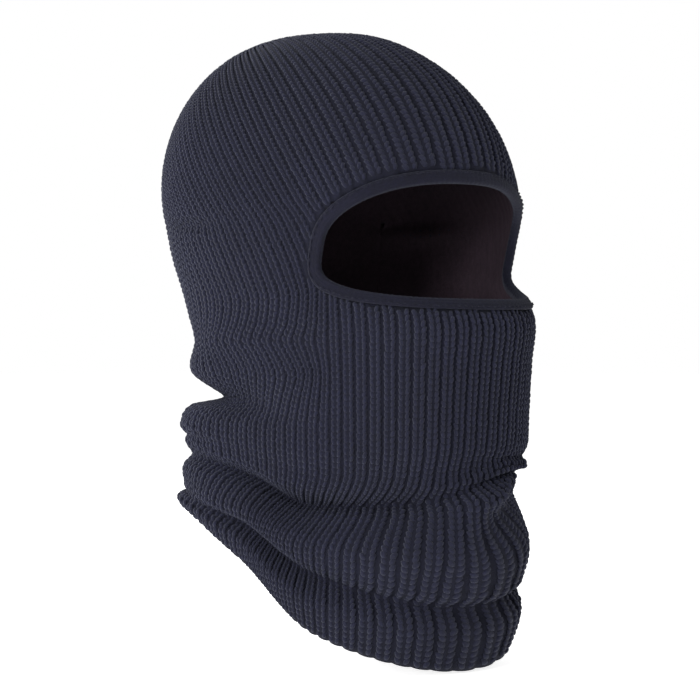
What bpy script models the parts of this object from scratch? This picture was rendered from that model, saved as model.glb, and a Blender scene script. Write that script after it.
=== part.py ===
"""A rib-knit balaclava with one opening for the eyes, worn with its neck gathered in soft rolls.

The face looks towards -Y, the wearer's right is -X and +Z is up. The origin is where the crown of the
head bears on the inside of the knit. Lengths below are in millimetres and heights are measured from the
lowest point of the hem; to_metres() turns both into the part's own frame.

Two knitted panels make the hood. The front one covers the face, the sides and the crown, and the back one
ends in a rounded tongue at the top of the head. Yarn seams join them: one up each side behind the ear and
one round the tongue. A folded knit binding grips the cut edge of the eye opening over an elastic cord.
"""

import math

import bmesh
import bpy
import numpy as np

# Driving sizes.
BROW_HEIGHT = 212.0          # the widest level of the head
CROWN_RISE = 86.0            # from the brow to the top of the crown
HALF_WIDTH = 78.0            # at the brow, across
HALF_LENGTH = 98.0           # at the brow, front to back
CLOTH = 2.6                  # thickness of the rib knit
GAP = 0.3                    # between pieces that touch
SEAM_YARN = 1.0              # radius of the yarn in the seams
SEAM_ROOM = 1.8              # from the middle of a seam to the edge of either panel
SEAM_ANGLE = 127.0           # degrees from the face to each side seam
SEAT_HEIGHT = BROW_HEIGHT + CROWN_RISE - CLOTH / 2

# The back of the crown stands out a little where the seam gathers it, and the forehead slopes.
CROWN_FULLNESS = 0.08
FOREHEAD_SLOPE = 0.02

# Half widths and reaches of the hood at a few heights, and how square the front of the section is.
HALF_WIDTHS = ([0, 60, 100, 140, 175, 190, 212], [66, 66, 64, 64, 69, 73, 78])
FRONT_REACH = (
    [0, 30, 60, 100, 140, 155, 163, 169, 174, 184, 212],
    [102, 106, 107, 107, 110, 112, 109.5, 105.5, 101.5, 95.5, 98],
)
BACK_REACH = ([0, 60, 100, 125, 145, 165, 190, 212], [82, 80, 78, 76, 76, 84, 94, 98])
SQUARENESS = ([0, 60, 100, 160, 180, 212], [2.3, 2.35, 2.5, 2.5, 2.1, 2.0])

# Rolls and folds below the brow, as rings round the neck. Each ring has its height and its step out from
# the plain section at these angles from the face.
RING_ANGLES = (0, 45, 80, 130, 180)
RINGS = (
    ("brow", (212, 212, 212, 212, 212), (0, 0, 0, 0, 0)),
    ("eyes", (192, 192, 192, 192, 192), (0, 0, 0, 0, 0)),
    ("cheek", (170, 170, 171, 171, 171), (0, 0, 0, 0, 0)),
    ("jowl", (150, 150, 152, 152, 151), (0, 0, 2, 0.5, 0.5)),
    ("nape lip", (130, 130, 134, 136, 136), (0, 0, 0, 3, 3)),
    ("nape groove", (119, 119, 122, 123, 123), (0, 0, -5, -13, -10)),
    ("roll top", (108, 109, 114, 118, 118), (0, 0, 1, 4, 4)),
    ("roll", (100, 103, 106, 109, 109), (-1, 0, 2, 8, 7)),
    ("jaw", (93, 99, 99, 100, 100), (-3, -2, 1, 5, 5)),
    ("chin", (84, 93, 92, 96, 96), (-6, -6, -2, 3, 3)),
    ("chin groove", (76, 86, 86, 91, 91), (-15, -10, -9, 3, 2)),
    ("ledge", (69, 78, 81, 86, 86), (-9, -7, -3, 6, 5)),
    ("cowl", (55, 59, 75, 80, 80), (1, 0, 3, 4, 4)),
    ("cowl lip", (40, 44, 67, 77, 77), (-2, -3, 2, 4, 4)),
    ("under fold", (33, 39, 61, 75, 75), (-7, -6, -2, 8, 6)),
    ("skirt", (21, 30, 56, 71, 72), (-4, 0, 1, 7, 6)),
    ("hem", (1, 16, 49, 66, 69), (-6, -6, -1, 2, 3)),
)

# Folds of the chin ride higher on the wearer's left: by how much, at this angle and over this reach.
LEFT_LIFT = {"roll": 1, "jaw": 3, "chin": 8, "chin groove": 11, "ledge": 10, "cowl": 3}
LEFT_LIFT_PLACE = (-20, 36)

# The ribs of the front panel aim at a point on the back of the crown, and the tongue's edge lies round it.
RIB_POLE = np.array([0.0, 0.585, 0.811]) / math.hypot(0.585, 0.811)
TONGUE_EDGE = ([0, 60, 80, 95, 108, 116, 118], [35, 36, 38, 45, 57, 72.5, 79])
TONGUE_FOOT = 115.6          # bearing where its yarn ends, beside the top of the side seam
RIB_TURN = ([0, 15, 28, 45, 60, 70, 82, 96, 110, 127], [0, 6, 9, 11.3, 11.5, 10.3, 8.5, 6.3, 3.5, 0])
RIB_TURN_FADE = 20.0

# The eye opening, measured at the binding's inner rim.
EYE_HEIGHT = 192.0
EYE_HALF_WIDTH = 56.0
EYE_RISE = 29.0
EYE_DROP = 23.5
EYE_TOP_SQUARENESS = 2.55
EYE_BOTTOM_SQUARENESS = 4.0
CUT_EDGE = 3.5               # from the rim to the panel's cut edge
BINDING_WIDTH = 6.4
BINDING_WALL = 0.9
BINDING_SLACK = 0.75         # between the binding and the panel it grips
BINDING_SET = -0.3           # how far the binding sits towards the inside of the panel
ELASTIC = 0.7                # radius
STITCH = 0.4                 # radius of the stitching yarn on the binding
STITCH_LINE = 5.2            # from the rim

# How finely the solids are divided.
FRONT_COLUMNS = 44
BACK_COLUMNS = 20
BACK_CROWDING = 0.4          # how much the back's columns crowd towards the side seams
CROWN_ROWS = 15
ROWS_TO_EYES = 5
ROWS_AT_CHEEK = 12
ROWS_IN_ROLLS = 22
RIM_STEPS = 70
YARN_SIDES = 6

COLOURS = {
    "knit": ((0.028, 0.034, 0.060), 0.92),
    "binding": ((0.030, 0.036, 0.062), 0.88),
    "yarn": ((0.024, 0.029, 0.052), 0.90),
    "elastic": ((0.015, 0.015, 0.018), 0.70),
    "label": ((0.62, 0.62, 0.60), 0.55),
}


def curve(x, points, values):
    """A smooth curve through a few points that never overshoots them (a monotone cubic)."""
    points = np.asarray(points, float)
    values = np.asarray(values, float)
    step = np.diff(points)
    rise = np.diff(values) / step
    slope = np.zeros_like(values)
    before = 2 * step[1:] + step[:-1]
    after = step[1:] + 2 * step[:-1]
    same_way = rise[:-1] * rise[1:] > 0
    low = np.where(same_way, rise[:-1], 1)
    high = np.where(same_way, rise[1:], 1)
    slope[1:-1] = np.where(same_way, (before + after) / (before / low + after / high), 0)
    slope[0] = rise[0]
    slope[-1] = rise[-1]
    x = np.clip(x, points[0], points[-1])
    i = np.clip(np.searchsorted(points, x) - 1, 0, len(step) - 1)
    t = (x - points[i]) / step[i]
    ends = (1 + 2 * t) * (1 - t) ** 2 * values[i] + t * t * (3 - 2 * t) * values[i + 1]
    return ends + t * (1 - t) * step[i] * ((1 - t) * slope[i] - t * slope[i + 1])


def smooth(x):
    """From 0 to 1 with level ends."""
    x = np.clip(x, 0, 1)
    return x * x * (3 - 2 * x)


def hump(x, middle, half_width):
    """1 at the middle and 0 beyond the half width, with level ends."""
    return smooth(1 - np.abs(x - middle) / half_width)


def section(angle, height):
    """Radius of the plain hood: half an ellipse behind, and half a squarer one in front."""
    side = curve(height, *HALF_WIDTHS)
    forward = np.cos(angle) > 0
    reach = np.where(forward, curve(height, *FRONT_REACH), curve(height, *BACK_REACH))
    power = np.where(forward, curve(height, *SQUARENESS), 2.0)
    return (np.abs(np.sin(angle) / side) ** power + np.abs(np.cos(angle) / reach) ** power) ** (-1 / power)


def round_the_neck(angle, values):
    """A ring's value at any angle, mirrored from one side of the face to the other."""
    degrees = np.degrees(np.abs(np.arctan2(np.sin(angle), np.cos(angle))))
    angles = (-RING_ANGLES[1],) + RING_ANGLES + (360 - RING_ANGLES[-2],)
    return curve(degrees, angles, (values[1],) + tuple(values) + (values[-2],))


def ring_spline(knots, along):
    """Catmull-Rom through the rings: knots is (..., rings), along runs from 0 at the brow to 1 at the hem."""
    first = 2 * knots[..., :1] - knots[..., 1:2]
    last = 2 * knots[..., -1:] - knots[..., -2:-1]
    knots = np.concatenate([first, knots, last], axis=-1)
    spans = knots.shape[-1] - 3
    place = np.clip(along, 0, 1) * spans
    i = np.minimum(place.astype(int), spans - 1)
    t = place - i
    a, b, c, d = (np.take_along_axis(knots, (i + k)[..., None], -1)[..., 0] for k in range(4))
    return 0.5 * (2 * b + (c - a) * t + (2 * a - 5 * b + 4 * c - d) * t**2 + (3 * b - a - 3 * c + d) * t**3)


def neck(angle, along):
    """A point of the hood below the brow."""
    lift = hump(np.degrees(np.arctan2(np.sin(angle), np.cos(angle))), *LEFT_LIFT_PLACE)
    heights = [round_the_neck(angle, ring[1]) + LEFT_LIFT.get(ring[0], 0) * lift for ring in RINGS]
    steps = np.stack([round_the_neck(angle, ring[2]) for ring in RINGS], -1)
    height = ring_spline(np.stack(heights, -1), along)
    radius = section(angle, height) + ring_spline(steps, along)
    return np.stack([-radius * np.sin(angle), -radius * np.cos(angle), height], -1)


def crown(direction):
    """A point of the hood above the brow, for a direction on a unit half sphere."""
    x, y, z = direction[..., 0], direction[..., 1], np.clip(direction[..., 2], 0, 1)
    shoulder = 2 * z * np.sqrt(np.clip(1 - z * z, 0, 1))
    full = CROWN_FULLNESS * smooth((y + 0.45) / 0.8) - FOREHEAD_SLOPE * (1 - smooth((y + 0.6) / 0.8))
    scale = 1 + full * shoulder
    return np.stack([
        HALF_WIDTH * x * scale,
        HALF_LENGTH * y * scale,
        BROW_HEIGHT + CROWN_RISE * z * scale,
    ], -1)


def brow_direction(angle):
    """The unit direction whose crown point stands at this angle on the brow."""
    turn = np.arctan2(np.sin(angle) / HALF_WIDTH, np.cos(angle) / HALF_LENGTH)
    return np.stack([-np.sin(turn), -np.cos(turn), 0 * turn], -1)


def from_pole(distance, bearing):
    """The unit direction at a distance and a bearing from the point that the ribs aim at."""
    forward = np.array([0.0, -RIB_POLE[2], RIB_POLE[1]])
    right = np.array([-1.0, 0.0, 0.0])
    aside = np.cos(bearing)[..., None] * forward + np.sin(bearing)[..., None] * right
    return np.cos(distance)[..., None] * RIB_POLE + np.sin(distance)[..., None] * aside


def pole_bearing(direction):
    across = direction @ np.array([-1.0, 0.0, 0.0])
    forward = direction @ np.array([0.0, -RIB_POLE[2], RIB_POLE[1]])
    return np.arctan2(across, forward)


def tongue_edge(bearing, step=0.0):
    """Distance of the tongue's edge from the pole, moved by a step in millimetres across the edge."""
    degrees = np.degrees(np.abs(bearing))
    distance = np.radians(curve(degrees, *TONGUE_EDGE))
    slope = np.radians(curve(degrees + 0.5, *TONGUE_EDGE)) - np.radians(curve(degrees - 0.5, *TONGUE_EDGE))
    slant = slope / math.radians(1.0) / np.sin(distance)
    return distance + step / HALF_LENGTH * np.sqrt(1 + slant**2)


def rib_turn(angle):
    """How far a rib has turned from its place on the neck by the time it reaches the brow."""
    degrees = np.degrees(np.abs(angle))
    return np.radians(curve(degrees, *RIB_TURN)) * np.sign(angle)


def neck_rows(angle):
    """Points down each rib, from the brow to the hem, closest together round the eye opening's lower rim."""
    names = [ring[0] for ring in RINGS]
    eyes = names.index("eyes") / (len(RINGS) - 1)
    jowl = names.index("jowl") / (len(RINGS) - 1)
    along = np.concatenate([
        np.linspace(0, eyes, ROWS_TO_EYES + 1)[:-1],
        np.linspace(eyes, jowl, ROWS_AT_CHEEK + 1)[:-1],
        np.linspace(jowl, 1, ROWS_IN_ROLLS + 1),
    ])
    rows = len(along)
    along = np.broadcast_to(along, (len(angle), rows))
    angle = np.repeat(angle[:, None], rows, 1)
    fall = BROW_HEIGHT - neck(angle, along)[..., 2]
    turned = angle + rib_turn(angle) * np.exp(-np.clip(fall, 0, None) / RIB_TURN_FADE)
    return neck(turned, along)


def front_crown_rows(angle, rows, step):
    """Points down each rib of the front panel, from the tongue's edge to the brow."""
    foot = brow_direction(angle + rib_turn(angle))
    bearing = pole_bearing(foot)
    start = tongue_edge(bearing, step)
    end = np.arccos(foot @ RIB_POLE)
    along = np.linspace(0, 1, rows)
    distance = start[:, None] + (end - start)[:, None] * along
    return crown(from_pole(distance, np.repeat(bearing[:, None], rows, 1)))


def back_crown_rows(angle, rows, step):
    """The same for the back panel, whose ribs rise in upright planes to the tongue's edge."""
    foot = brow_direction(angle)
    rise = np.linspace(0, math.pi, 721)
    x = np.repeat(foot[:, :1], len(rise), 1)
    upright = np.stack([x, foot[:, 1:2] * np.cos(rise), foot[:, 1:2] * np.sin(rise)], -1)
    beyond = np.arccos(np.clip(upright @ RIB_POLE, -1, 1)) - tongue_edge(pole_bearing(upright), -step)
    inside = (beyond < 0) | (rise < 0.02)
    last = np.argmin(inside, axis=1) - 1
    pick = np.arange(len(angle))
    part = -beyond[pick, last] / (beyond[pick, last + 1] - beyond[pick, last])
    top = rise[last] + np.clip(part, 0, 1) * (rise[1] - rise[0])
    along = np.linspace(1, 0, rows) * top[:, None]
    x = np.repeat(foot[:, :1], rows, 1)
    return crown(np.stack([x, foot[:, 1:2] * np.cos(along), foot[:, 1:2] * np.sin(along)], -1))


def panel_grid(angles, crown_rows, step):
    """Middle surface of a panel: one column for each angle, from the crown seam down to the hem."""
    top = crown_rows(angles, CROWN_ROWS + 1, step)
    below = neck_rows(angles)
    return np.concatenate([top, below[:, 1:]], axis=1)


def grid_normals(grid, outward):
    """Unit normals of a grid of points, turned to the side that outward says."""
    across = np.gradient(grid, axis=0)
    down = np.gradient(grid, axis=1)
    normal = np.cross(across, down)
    normal /= np.linalg.norm(normal, axis=-1, keepdims=True)
    return normal if (normal * outward).sum() > 0 else -normal


def to_metres(points):
    return (np.asarray(points) - [0, 0, SEAT_HEIGHT]) / 1000


def material(name):
    colour, roughness = COLOURS[name]
    made = bpy.data.materials.new(name)
    made.use_nodes = True
    shader = made.node_tree.nodes["Principled BSDF"]
    shader.inputs["Base Color"].default_value = (*colour, 1)
    shader.inputs["Roughness"].default_value = roughness
    shader.inputs["Metallic"].default_value = 0
    return made


def add_object(name, points, faces, slot):
    """A closed mesh, with its faces turned outwards."""
    mesh = bpy.data.meshes.new(name)
    mesh.from_pydata(to_metres(points).tolist(), [], [tuple(int(v) for v in face) for face in faces])
    work = bmesh.new()
    work.from_mesh(mesh)
    bmesh.ops.recalc_face_normals(work, faces=work.faces)
    work.to_mesh(mesh)
    work.free()
    mesh.shade_smooth()
    mesh.set_sharp_from_angle(angle=math.radians(50))
    mesh.materials.append(bpy.data.materials.get(slot) or material(slot))
    made = bpy.data.objects.new(name, mesh)
    bpy.context.scene.collection.objects.link(made)
    return made


def quads(index):
    """Faces between neighbouring rows and columns of a grid of point numbers."""
    corners = index[:-1, :-1], index[1:, :-1], index[1:, 1:], index[:-1, 1:]
    return np.stack(corners, -1).reshape(-1, 4)


def sheet(name, grid, thickness, slot, lift=0.0):
    """A closed sheet of cloth about a grid of points."""
    outward = grid - [0, 0, EYE_HEIGHT]
    normal = grid_normals(grid, outward)
    outer = grid + normal * (lift + thickness / 2)
    inner = grid + normal * (lift - thickness / 2)
    columns, rows = grid.shape[:2]
    number = np.arange(columns * rows).reshape(columns, rows)
    under = number + columns * rows
    faces = [quads(number), quads(under)[:, ::-1]]
    for edge in (np.s_[0, :], np.s_[-1, :], np.s_[:, 0], np.s_[:, -1]):
        faces.append(quads(np.stack([number[edge], under[edge]])))
    points = np.concatenate([outer.reshape(-1, 3), inner.reshape(-1, 3)])
    return add_object(name, points, np.concatenate(faces), slot)


def loop_body(name, rings, slot):
    """A body swept round a closed loop: rings is (steps, sides, 3)."""
    steps, sides = rings.shape[:2]
    number = np.arange(steps * sides).reshape(steps, sides)
    number = np.concatenate([number, number[:1]])
    number = np.concatenate([number, number[:, :1]], axis=1)
    return add_object(name, rings.reshape(-1, 3), quads(number), slot)


def yarn_body(name, path, normal, slot):
    """A round yarn along an open path, with flat ends."""
    along = np.gradient(path, axis=0)
    side = np.cross(along, normal)
    side /= np.linalg.norm(side, axis=-1, keepdims=True)
    up = np.cross(side, along)
    up /= np.linalg.norm(up, axis=-1, keepdims=True)
    turn = np.arange(YARN_SIDES) * 2 * math.pi / YARN_SIDES
    ring = side[:, None] * np.cos(turn)[:, None] + up[:, None] * np.sin(turn)[:, None]
    points = path[:, None] + ring * SEAM_YARN
    number = np.arange(len(path) * YARN_SIDES).reshape(len(path), YARN_SIDES)
    wrapped = np.concatenate([number, number[:, :1]], axis=1)
    faces = [tuple(face) for face in quads(wrapped)]
    faces += [tuple(number[0]), tuple(number[-1])]
    return add_object(name, points.reshape(-1, 3), faces, slot)


def face_surface(x, height):
    """The middle surface at the front of the hood, between the cheeks and the forehead, and its normal."""

    def point(x, height):
        power = curve(height, *SQUARENESS)
        side = curve(height, *HALF_WIDTHS)
        forward = curve(height, *FRONT_REACH) * (1 - np.abs(x / side) ** power) ** (1 / power)
        rise = np.clip((height - BROW_HEIGHT) / CROWN_RISE, 0, 1)
        across = x / HALF_WIDTH
        above = crown(np.stack([across, -np.sqrt(1 - across**2 - rise**2), rise], -1))
        return np.where((height > BROW_HEIGHT)[..., None], above, np.stack([x, -forward, height], -1))

    across = point(x + 0.5, height) - point(x - 0.5, height)
    upward = point(x, height + 0.5) - point(x, height - 0.5)
    normal = np.cross(across, upward)
    return point(x, height), normal / np.linalg.norm(normal, axis=-1, keepdims=True)


def eye_rim(distance):
    """Points round the eye opening at a distance outside its rim, and the hood's normals there."""
    turn = (np.arange(RIM_STEPS) + 0.5) * 2 * math.pi / RIM_STEPS
    upper = np.sin(turn) > 0
    power = np.where(upper, EYE_TOP_SQUARENESS, EYE_BOTTOM_SQUARENESS)
    reach = np.where(upper, EYE_RISE, EYE_DROP)
    size = (np.abs(np.cos(turn)) ** power + np.abs(np.sin(turn)) ** power) ** (-1 / power)
    x = EYE_HALF_WIDTH * np.cos(turn) * size
    here, normal = face_surface(x, EYE_HEIGHT + reach * np.sin(turn) * size)
    along = np.roll(here, -1, axis=0) - np.roll(here, 1, axis=0)
    outward = np.cross(along, normal)
    outward /= np.linalg.norm(outward, axis=-1, keepdims=True)
    moved = here + outward * distance
    return face_surface(moved[:, 0], moved[:, 2])


def rim_loop(outline):
    """Rings of points for an outline of (distance from the rim, height over the cloth) pairs."""
    columns = []
    for distance, lift in outline:
        here, normal = eye_rim(distance)
        columns.append(here + normal * (lift + BINDING_SET))
    return np.stack(columns, axis=1)


def circle(distance, lift, radius):
    turn = np.arange(YARN_SIDES) * 2 * math.pi / YARN_SIDES
    return [(distance + radius * math.cos(a), lift + radius * math.sin(a)) for a in turn]


def eye_cutter():
    """A plug through the front panel, with its walls square to the cloth."""
    here, normal = eye_rim(CUT_EDGE)
    depth = 3 * CLOTH
    outer = here + normal * depth
    inner = here - normal * depth
    tip = np.array([[0, -HALF_LENGTH - 50, EYE_HEIGHT], [0, -HALF_LENGTH + 60, EYE_HEIGHT]])
    points = np.concatenate([outer, inner, tip])
    steps = len(here)
    faces = []
    for i in range(steps):
        j = (i + 1) % steps
        faces += [(i, j, steps + j, steps + i), (j, i, 2 * steps), (steps + i, steps + j, 2 * steps + 1)]
    cutter = add_object("eye_cutter", points, faces, "knit")
    cutter.hide_render = True
    cutter.display_type = "WIRE"
    return cutter


def seam_gap_angle():
    """Half the gap that holds the seam yarn, as an angle on the neck."""
    return SEAM_ROOM / curve(100.0, *HALF_WIDTHS)


def front_panel():
    reach = math.radians(SEAM_ANGLE) - seam_gap_angle()
    angles = reach * np.linspace(-1, 1, FRONT_COLUMNS + 1)
    grid = panel_grid(angles, front_crown_rows, SEAM_ROOM)
    panel = sheet("front_panel", grid, CLOTH, "knit")
    cut = panel.modifiers.new("eye opening", "BOOLEAN")
    cut.object = eye_cutter()
    cut.operation = "DIFFERENCE"
    cut.solver = "EXACT"


def back_panel():
    reach = math.pi - math.radians(SEAM_ANGLE) - seam_gap_angle()
    place = np.linspace(-1, 1, BACK_COLUMNS + 1)
    crowded = place + BACK_CROWDING * np.sin(math.pi * place) / math.pi
    angles = math.pi + reach * crowded
    angles = np.where(angles > math.pi, angles - 2 * math.pi, angles)
    sheet("back_panel", panel_grid(angles, back_crown_rows, SEAM_ROOM), CLOTH, "knit")


def side_seam(name, side):
    """The yarn that joins the panels behind one ear, from the hem up to the foot of the tongue."""
    angle = np.array([side * math.radians(SEAM_ANGLE)])
    path = neck_rows(angle)[0]
    path[0] += (path[1] - path[0]) * 0.2
    outward = path * [1, 1, 0]
    yarn_body(name, path, outward, "yarn")


def crown_seam():
    """The yarn round the tongue, over the crown from ear to ear."""
    end = math.radians(TONGUE_FOOT)
    bearing = np.linspace(-end, end, 4 * CROWN_ROWS + 1)
    path = crown(from_pole(tongue_edge(bearing), bearing))
    yarn_body("crown_seam_yarn", path, path - [0, 0, BROW_HEIGHT], "yarn")


def eye_binding():
    """A knit strip folded over the cut edge, open on the side that the panel goes in."""
    slot = CLOTH / 2 + BINDING_SLACK
    outer = slot + BINDING_WALL
    mouth = BINDING_WIDTH
    upper = [(mouth, slot), (mouth, outer - 0.2), (0.7 * mouth, outer + 0.1), (2.0, outer), (0.6, 0.65 * outer)]
    lower = [(distance, -lift) for distance, lift in reversed(upper)]
    outline = upper + [(0, 0)] + lower + [(BINDING_WALL, -slot), (BINDING_WALL, slot)]
    loop_body("eye_opening_binding", rim_loop(outline), "binding")


def eye_elastic():
    """The cord that keeps the opening's edge snug, loose in the fold of the binding."""
    centre = BINDING_WALL + GAP + ELASTIC
    loop_body("eye_opening_elastic", rim_loop(circle(centre, 0, ELASTIC)), "elastic")


def binding_stitch():
    """The yarn that sews the binding down, round the outside."""
    lift = CLOTH / 2 + BINDING_SLACK + BINDING_WALL + 0.1 + GAP + STITCH
    loop_body("binding_stitch_yarn", rim_loop(circle(STITCH_LINE, lift, STITCH)), "yarn")


def care_label():
    """A blank tab inside the back of the neck."""
    half_angle = 17 / curve(155.0, *BACK_REACH)
    angles = np.linspace(math.pi - half_angle, math.pi + half_angle, 7)
    heights = np.linspace(168, 144, 6)
    angle, height = np.meshgrid(angles, heights, indexing="ij")
    radius = section(angle, height)
    grid = np.stack([-radius * np.sin(angle), -radius * np.cos(angle), height], -1)
    sheet("care_label", grid, 0.5, "label", lift=-(CLOTH / 2 + 2.0))


def main():
    for old in list(bpy.data.objects):
        bpy.data.objects.remove(old, do_unlink=True)
    front_panel()
    back_panel()
    side_seam("right_side_seam_yarn", 1)
    side_seam("left_side_seam_yarn", -1)
    crown_seam()
    eye_binding()
    eye_elastic()
    binding_stitch()
    care_label()


main()
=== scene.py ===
"""A rib-knit balaclava, knitted stitch by stitch over the fixed CAD frame.

Lengths inside the shape functions are in millimetres, with heights counted up from the lowest point of the
hem. to_frame() turns them into the frame's metres.
"""

import math

import bpy
import numpy as np
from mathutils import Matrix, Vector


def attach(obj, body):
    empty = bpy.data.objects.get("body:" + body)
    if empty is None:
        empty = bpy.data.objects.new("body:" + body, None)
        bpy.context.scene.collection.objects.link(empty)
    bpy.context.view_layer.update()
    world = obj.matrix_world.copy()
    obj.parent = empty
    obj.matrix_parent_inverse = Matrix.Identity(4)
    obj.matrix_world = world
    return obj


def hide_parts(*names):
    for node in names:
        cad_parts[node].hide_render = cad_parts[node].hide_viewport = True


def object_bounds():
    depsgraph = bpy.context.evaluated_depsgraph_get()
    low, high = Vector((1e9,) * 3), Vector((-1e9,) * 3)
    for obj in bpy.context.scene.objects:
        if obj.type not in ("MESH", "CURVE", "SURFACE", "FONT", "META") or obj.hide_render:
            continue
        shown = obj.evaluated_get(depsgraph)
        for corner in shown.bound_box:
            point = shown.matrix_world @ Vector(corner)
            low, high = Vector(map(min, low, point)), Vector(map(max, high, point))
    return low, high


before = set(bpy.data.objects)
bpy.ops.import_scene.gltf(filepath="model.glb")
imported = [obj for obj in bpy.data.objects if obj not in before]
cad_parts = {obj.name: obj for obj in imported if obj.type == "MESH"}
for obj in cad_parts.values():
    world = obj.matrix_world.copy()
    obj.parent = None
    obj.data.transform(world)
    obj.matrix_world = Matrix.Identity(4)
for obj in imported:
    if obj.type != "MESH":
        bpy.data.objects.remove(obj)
CAD_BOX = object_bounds()

bl_info = {
    "name": "Rib-knit balaclava",
    "version": (1, 0, 0),
    "blender": (4, 5, 0),
    "location": "3D View > Sidebar > Balaclava",
    "description": "Knits a balaclava's panels, seams and eye binding around its CAD frame",
    "category": "Add Mesh",
}

# The plain shape of the hood, as the CAD has it.
BROW_HEIGHT = 212.0  # the widest level of the head
CROWN_RISE = 86.0  # from the brow to the top of the crown
HALF_WIDTH = 78.0  # at the brow, across
HALF_LENGTH = 98.0  # at the brow, front to back
CLOTH = 2.6  # thickness of the rib knit
SEAT_HEIGHT = BROW_HEIGHT + CROWN_RISE - CLOTH / 2
SEAM_ANGLE = math.radians(127)
CROWN_FULLNESS = 0.08
FOREHEAD_SLOPE = 0.02

# Half widths and reaches at a few heights, and how square the front of the section is.
HALF_WIDTHS = ([0, 60, 100, 140, 175, 190, 212], [66, 66, 64, 64, 69, 73, 78])
FRONT_REACH = (
    [0, 30, 60, 100, 140, 155, 163, 169, 174, 184, 212],
    [102, 106, 107, 107, 110, 112, 109.5, 105.5, 101.5, 95.5, 98],
)
BACK_REACH = ([0, 60, 100, 125, 145, 165, 190, 212], [82, 80, 78, 76, 76, 84, 94, 98])
SQUARENESS = ([0, 60, 100, 160, 180, 212], [2.3, 2.35, 2.5, 2.5, 2.1, 2.0])

# Rolls and folds below the brow: each ring's height, and its step out from the plain section, at these
# angles from the face.
RING_ANGLES = (0, 45, 80, 130, 180)
RINGS = (
    ("brow", (212, 212, 212, 212, 212), (0, 0, 0, 0, 0)),
    ("eyes", (192, 192, 192, 192, 192), (0, 0, 0, 0, 0)),
    ("cheek", (170, 170, 171, 171, 171), (0, 0, 0, 0, 0)),
    ("jowl", (150, 150, 152, 152, 151), (0, 0, 2, 0.5, 0.5)),
    ("nape lip", (130, 130, 134, 136, 136), (0, 0, 0, 3, 3)),
    ("nape groove", (119, 119, 122, 123, 123), (0, 0, -5, -13, -10)),
    ("roll top", (108, 109, 114, 118, 118), (0, 0, 1, 4, 4)),
    ("roll", (100, 100, 106, 110, 110), (-1, 0, 2, 8, 7)),
    ("jaw", (93, 92, 99, 105, 105), (-4, -2, 1, 5, 4)),
    ("chin", (85, 82, 93, 101, 101), (-8, -4, -1, 5, 4)),
    ("chin groove", (78, 75, 86, 95, 95), (-16, -16, -11, 2, 1)),
    ("ledge", (71, 70, 82, 89, 88), (-9, -8, -3, 6, 5)),
    ("cowl", (52, 60, 76, 81, 81), (1, 1, 3, 5, 4)),
    ("cowl lip", (36, 49, 70, 77, 77), (-2, -1, 3, 4, 4)),
    ("under fold", (30, 44, 65, 75, 75), (-9, -9, -5, 7, 6)),
    ("skirt", (19, 33, 58, 72, 73), (-4, 0, 1, 7, 6)),
    ("hem", (1, 17, 48, 68, 70), (-6, -6, -1, 2, 3)),
)
# Folds of the chin ride higher on the wearer's left: by how much, at this angle and over this reach.
LEFT_LIFT = {"roll": 2, "jaw": 5, "chin": 9, "chin groove": 14, "ledge": 11, "cowl": 3}
LEFT_LIFT_PLACE = (-20, 36)

# Small folds that the rings don't hold: the step, the middle and reach in degrees from the face, and the
# middle and reach in height.
SMALL_FOLDS = (
    (1.3, (82, 36), (151, 12)),  # a soft ridge across the cheek
    (-0.8, (74, 30), (166, 10)),  # the hollow above it
    (-2.4, (108, 34), (205, 6)),  # the crease by the ear
)

# The ribs of the front panel aim at a point on the back of the crown, and the tongue's edge lies round it.
RIB_POLE = np.array([0.0, 0.585, 0.811]) / math.hypot(0.585, 0.811)
POLE_FORWARD = np.array([0.0, -RIB_POLE[2], RIB_POLE[1]])
POLE_RIGHT = np.array([-1.0, 0.0, 0.0])
TONGUE_EDGE = ([0, 60, 80, 95, 108, 116, 118], [35, 36, 38, 45, 57, 72.5, 79])
TONGUE_FOOT = math.radians(115.6)

# Degrees that a rib has turned by the brow, for its angle, and the height over which this fades.
RIB_TURN = ([0, 15, 28, 45, 60, 70, 82, 96, 110, 127], [0, 6, 9, 11.3, 11.5, 10.3, 8.5, 6.3, 3.5, 0])
RIB_TURN_FADE = 20.0
PITCH_HEIGHT = 140.0  # the level where the ribs are evenly spaced

# The ribs wander on the cheeks: degrees forward at each height, and the angles from the face between which
# they start, are in full, start to fade and are gone.
RIB_SWAY = ([112, 122, 135, 143, 150, 158, 170, 180, 196], [0, 2, 5, 2, -1, 2, 4, 2, 0])
SWAY_SPAN = (35, 60, 100, 122)

# Below the chin they fan out.
FAN_MIDDLE = 4.0  # degrees
FAN_REACH = 80.0  # degrees
FAN_SPREAD = 0.6
FAN_TOP = 92.0
FAN_DROP = 42.0  # the height over which the fan opens

# A ridge runs down the cowl from the notch on the wearer's left: its angle and its rise at each height, and
# its widths in degrees towards the wearer's right and left.
RIDGE = ([48, 58, 69, 76, 84, 92], [10, 8, 4, 0, -7, -18])
RIDGE_RISE = ([44, 54, 64, 72, 80, 88, 97], [0, 3, 6, 10, 16, 13, 0])
RIDGE_WIDTHS = (15.0, 8.0)
RIDGE_REACH = 75.0  # no ridge further round than this, in degrees
RIDGE_DRIFT = 16.0  # degrees that the ribs beyond the ridge turn away from it
RIDGE_DRIFT_DROP = 34.0  # the height over which they turn
RIDGE_DRIFT_SPAN = (24, 60, -100)  # degrees over which the turn grows and fades, and where it is gone

# The eye opening, measured at the binding's inner rim.
EYE_HEIGHT = 192.0
EYE_HALF_WIDTH = 56.0
EYE_RISE = 29.0
EYE_DROP = 23.5
EYE_TOP_SQUARENESS = 2.55
EYE_BOTTOM_SQUARENESS = 4.0
CUT_EDGE = 3.5  # from the rim to the panel's cut edge

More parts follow.
